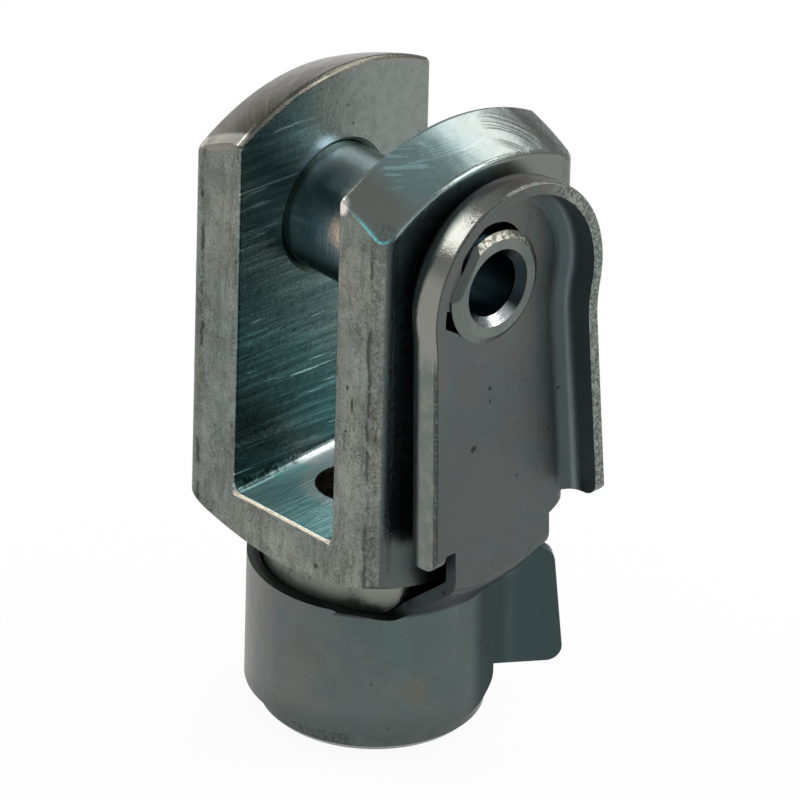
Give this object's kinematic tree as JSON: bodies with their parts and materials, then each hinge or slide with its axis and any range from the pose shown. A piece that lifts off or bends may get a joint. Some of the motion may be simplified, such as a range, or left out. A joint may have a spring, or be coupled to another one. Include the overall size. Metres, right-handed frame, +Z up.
{
  "type": "clevis rod end",
  "caption": "Forked rod end with a threaded neck, a cross pin through both ears, and a folding spring clip that snaps round the neck and keeps the pin in.",
  "frame": {"origin": "middle of the neck's end face, on the thread's axis", "axes": "+Z up the thread's axis towards the ears, X along the cross pin with the clip's plate on the +X side, Y through the slot with the clip's open side towards +Y"},
  "size_m": [0.0211, 0.016, 0.0411],
  "materials": {
    "fork_steel": "machined, blue zinc plated",
    "pin_steel": "turned, blue zinc plated",
    "clip_steel": "pressed sheet, blue zinc plated"
  },
  "bodies": {
    "fork": {"fork_head": "fork_steel"},
    "clip": {"clevis_pin": "pin_steel", "spring_clip": "clip_steel"}
  },
  "joints": [
    {"name": "clip_swing", "type": "hinge", "parent": "fork", "child": "clip", "pos_m": [0, 0, 0.032], "axis": [-1, 0, 0], "range_deg": [0, 322]}
  ]
}
